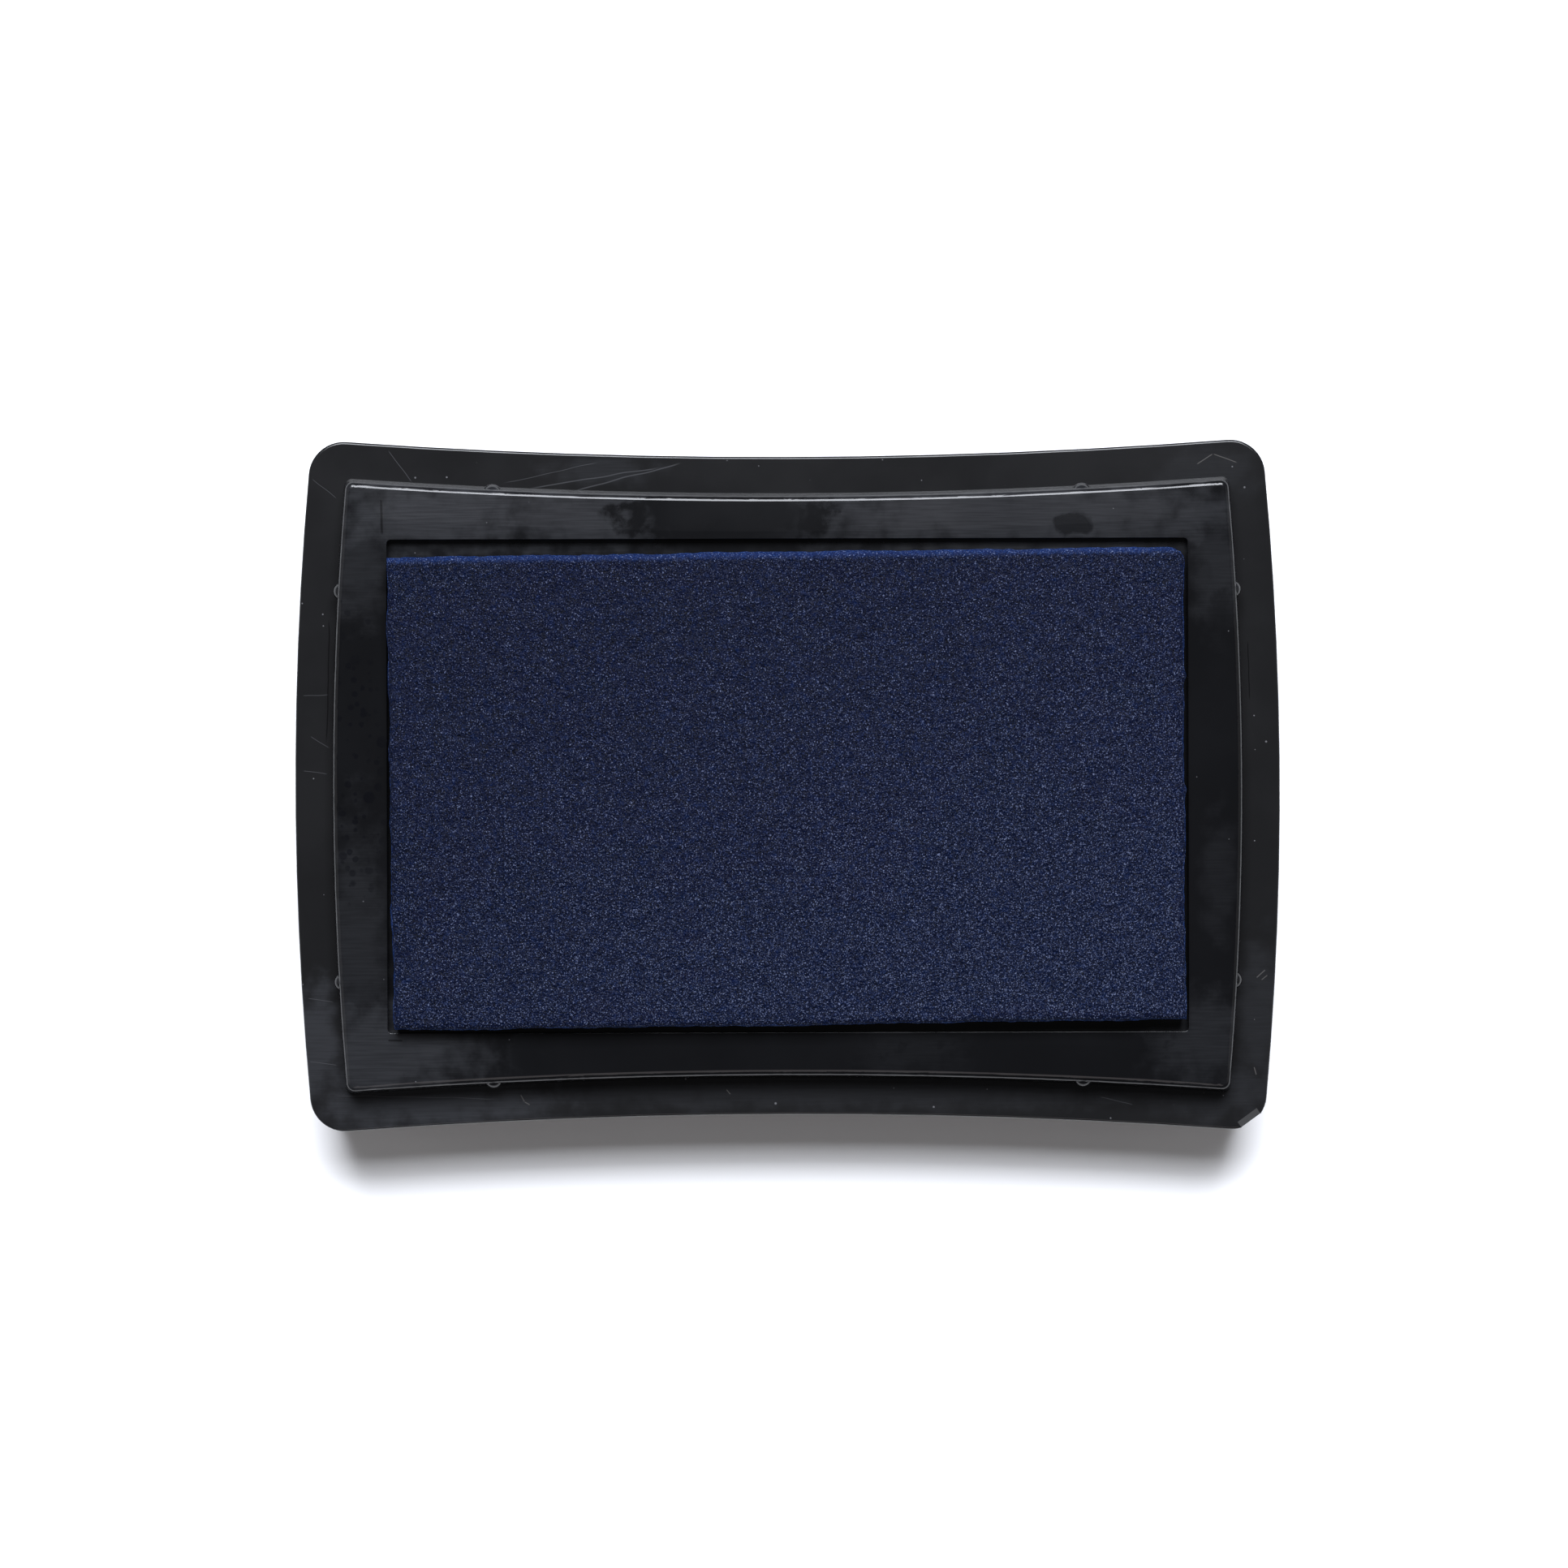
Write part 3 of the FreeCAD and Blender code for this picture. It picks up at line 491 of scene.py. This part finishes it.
def worn_foam(points):
    """Skews the foam as it was cut and stuck down, bows its ends, rounds one corner and roughens it."""
    x, y, z = points.T.copy()
    height = foam_high.z - foam_low.z
    up = np.clip((z - foam_low.z) / height, 0, 1)
    half_x, half_y = foam_size[0] / 2, foam_size[1] / 2
    near_end = np.clip((np.abs(x) / half_x - 0.9) / 0.1, 0, 1)
    near_side = np.clip((np.abs(y) / half_y - 0.86) / 0.14, 0, 1)
    bow = FOAM_BOW * (1 - (y / half_y) ** 2)
    splay = FOAM_SPLAY * (y / half_y + 0.6)
    wave_x = 0.14 * MM * lattice_noise(y, x, 3.1 * MM, 1) + 0.07 * MM * lattice_noise(y, z, 0.8 * MM, 2)
    wave_y = 0.1 * MM * lattice_noise(x, y, 4.3 * MM, 3) + 0.07 * MM * lattice_noise(x, z, 0.7 * MM, 4)
    swell = FOAM_SWELL * np.sin(up * np.pi)
    tuft_shapes = [np.exp(-(((y - at) / TUFT_WIDTH) ** 2)) for at in TUFTS_AT]
    tufts = TUFT_LENGTH * sum(tuft_shapes) * (x > 0) * up
    squeeze = np.where(x > 0, -bow * 0.4, bow * 0.25 - splay)
    x = x + near_end * (np.sign(x) * (wave_x + swell) + squeeze * up + tufts)
    belly = np.where(y > 0, FOAM_BELLY * (1 - (x / half_x) ** 2), 0)
    y = y + near_side * np.sign(y) * (wave_y + swell + belly)
    u = np.clip((x - half_x + WORN_CORNER_RADIUS) / WORN_CORNER_RADIUS, 0, 1)
    v = np.clip((y - half_y + WORN_CORNER_RADIUS) / WORN_CORNER_RADIUS, 0, 1)
    x = x - WORN_CORNER_RADIUS * u * (1 - np.sqrt(1 - v**2 / 2))
    y = y - WORN_CORNER_RADIUS * v * (1 - np.sqrt(1 - u**2 / 2))
    rough = 0.05 * lattice_noise(x, y, 5.0 * MM, 5) + 0.045 * lattice_noise(x, y, 1.3 * MM, 6)
    rough = rough + 0.05 * lattice_noise(x, y, 0.55 * MM, 7)
    z = z + rough * MM * np.clip((up - 0.8) / 0.2, 0, 1)
    skewed_x = x - y * FOAM_LEAN_OF_ENDS + foam_centre[0]
    skewed_y = y + x * FOAM_LEAN_OF_LONG_EDGES + foam_centre[1]
    return np.stack([skewed_x, skewed_y, z], -1)


def worn_felt(points):
    """Roughens the felt's face and edges a little."""
    x, y, z = points.T.copy()
    up = np.clip((z - felt_low.z) / (felt_high.z - felt_low.z), 0, 1)
    x = x - np.sign(x) * 0.1 * MM * (1 + lattice_noise(y, z, 1.5 * MM, 11)) / 2
    y = y - np.sign(y) * 0.1 * MM * (1 + lattice_noise(x, z, 1.5 * MM, 12)) / 2
    z = z - 0.04 * MM * (1 + lattice_noise(x, y, 0.9 * MM, 13)) / 2 * up
    return np.stack([x, y, z], -1)


foam = soft_slab("foam_block", foam_size, foam_low.z, foam_high.z, 0.22 * MM, 0.42 * MM, worn_foam, 14)
foam.data.materials.append(foam_material(foam_high.z, 0.4))
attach(foam, "pad")
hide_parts("ink_foam")

felt_size = (felt_high.x - felt_low.x, felt_high.y - felt_low.y)
felt = soft_slab("felt_slab", felt_size, felt_low.z, felt_high.z, 0.8 * MM, 0.4 * MM, worn_felt, 4)
felt.data.materials.append(felt_material())
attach(felt, "pad")
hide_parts("reservoir_felt")


# ---- Materials of the moulded pieces and labels ----
BLACK = (0.0068, 0.0068, 0.0072, 1.0)
DECK_BLACK = (0.0030, 0.0031, 0.0036, 1.0)
INK_BLUE = (0.014, 0.03, 0.16, 1.0)
flange_plastic = case_plastic(
    "case_satin",
    BLACK,
    0.13,
    haze_and_painted_light=FLANGE_HAZE_AND_PAINTED_LIGHT,
    scratches=FLANGE_SCRATCHES,
    fibres=FLANGE_FIBRES,
    shadows=WALL_FOOT_SHADOWS,
)
deck_plastic = case_plastic(
    "tray_gloss",
    DECK_BLACK,
    0.125,
    haze_and_painted_light=DECK_HAZE,
    wet=DECK_WET,
    droplets=0.55,
    shadows=DECK_CREASE_SHADE,
    dust=0.35,
)
lid_plastic = case_plastic("lid_satin", BLACK, 0.2, dust=0.6)
looks = {
    "base_shell": flange_plastic,
    "pad_tray": deck_plastic,
    "lid_shell": lid_plastic,
    "adhesive_film": film_material(),
    "lid_label": label_material("lid_label_paper", INK_BLUE, half_x=28.0, half_y=13.0),
    "base_label": label_material("base_label_paper", (0.62, 0.63, 0.66, 1.0), half_x=30.0, half_y=8.0),
    "lid_index_sticker": label_material(
        "sticker_paper_blue", INK_BLUE, half_x=16.0, half_y=2.2, axis_x=1, axis_y=2, centre_y=5.0
    ),
}
for node, material in looks.items():
    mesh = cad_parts[node].data
    mesh.materials.clear()
    mesh.materials.append(material)

# ---- Table, light and camera ----
bpy.ops.mesh.primitive_plane_add(size=3.0, location=(0, 0, 0))
table = bpy.context.object
table.name = "table"
surface = Graph("white_table")
soft_tone = surface.noise(0.01, 2.0)
white = surface.mix(soft_tone, (0.9, 0.9, 0.905, 1.0), (0.93, 0.93, 0.93, 1.0))
table.data.materials.append(surface.finish(white, 0.7, None, 0.2))


def softbox(name, tilt, heading, distance, width, height, radiance, colour):
    """An area light aimed at the pad: tilt from straight overhead, towards a heading in plan, in degrees."""
    light = bpy.data.lights.new(name, "AREA")
    light.shape = "RECTANGLE"
    light.size, light.size_y = width, height
    light.energy = radiance * math.pi * width * height
    light.color = colour
    lamp = bpy.data.objects.new(name, light)
    t, h = math.radians(tilt), math.radians(heading)
    away = Vector((math.sin(t) * math.cos(h), math.sin(t) * math.sin(h), math.cos(t)))
    lamp.location = away * distance
    lamp.rotation_mode = "QUATERNION"
    lamp.rotation_quaternion = away.to_track_quat("Z", "Y")
    bpy.context.scene.collection.objects.link(lamp)
    return lamp


KEY_COLOUR = (0.94, 0.97, 1.04)
SOFTBOXES = (  # name, tilt, heading, distance, width, height, radiance, colour
    ("key_behind", 33.6, 90, 1.0, 0.64, 0.355, 27.6, KEY_COLOUR),
    ("key_edge", 19.6, 90, 1.0, 0.6, 0.155, 14.5, KEY_COLOUR),  # the key's dimmer near edge
    ("fill_front", 38, -90, 1.2, 0.55, 0.4, 1.8, (1.0, 0.92, 0.94)),
    ("fill_left", 62, 180, 1.2, 0.8, 0.8, 0.5, (1.0, 1.0, 1.0)),
    ("fill_right", 62, 0, 1.2, 0.8, 0.8, 0.4, (1.0, 1.0, 1.0)),
)
for values in SOFTBOXES:
    softbox(*values)

world = bpy.data.worlds.new("studio")
world.use_nodes = True
bpy.context.scene.world = world
backdrop = world.node_tree.nodes["Background"]
backdrop.inputs["Color"].default_value = (0.95, 0.97, 1.0, 1.0)
backdrop.inputs["Strength"].default_value = 0.08

VIEW_WIDTH = 151.6 * MM  # of the picture, at the height of the flange
CAMERA_ABOVE_FLANGE = 0.4
flange_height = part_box("base_shell")[1].z
camera = bpy.data.cameras.new("camera_above")
camera.sensor_width = 36.0
camera.lens = camera.sensor_width * CAMERA_ABOVE_FLANGE / VIEW_WIDTH
camera.clip_start, camera.clip_end = 0.01, 10.0
camera.dof.use_dof = False
viewer = bpy.data.objects.new("camera_above", camera)
viewer.location = (-0.35 * MM, 0.14 * MM, flange_height + CAMERA_ABOVE_FLANGE)
viewer.rotation_euler = (0, 0, math.radians(-0.15))
bpy.context.scene.collection.objects.link(viewer)
bpy.context.scene.camera = viewer
bpy.context.scene.view_settings.view_transform = "Standard"
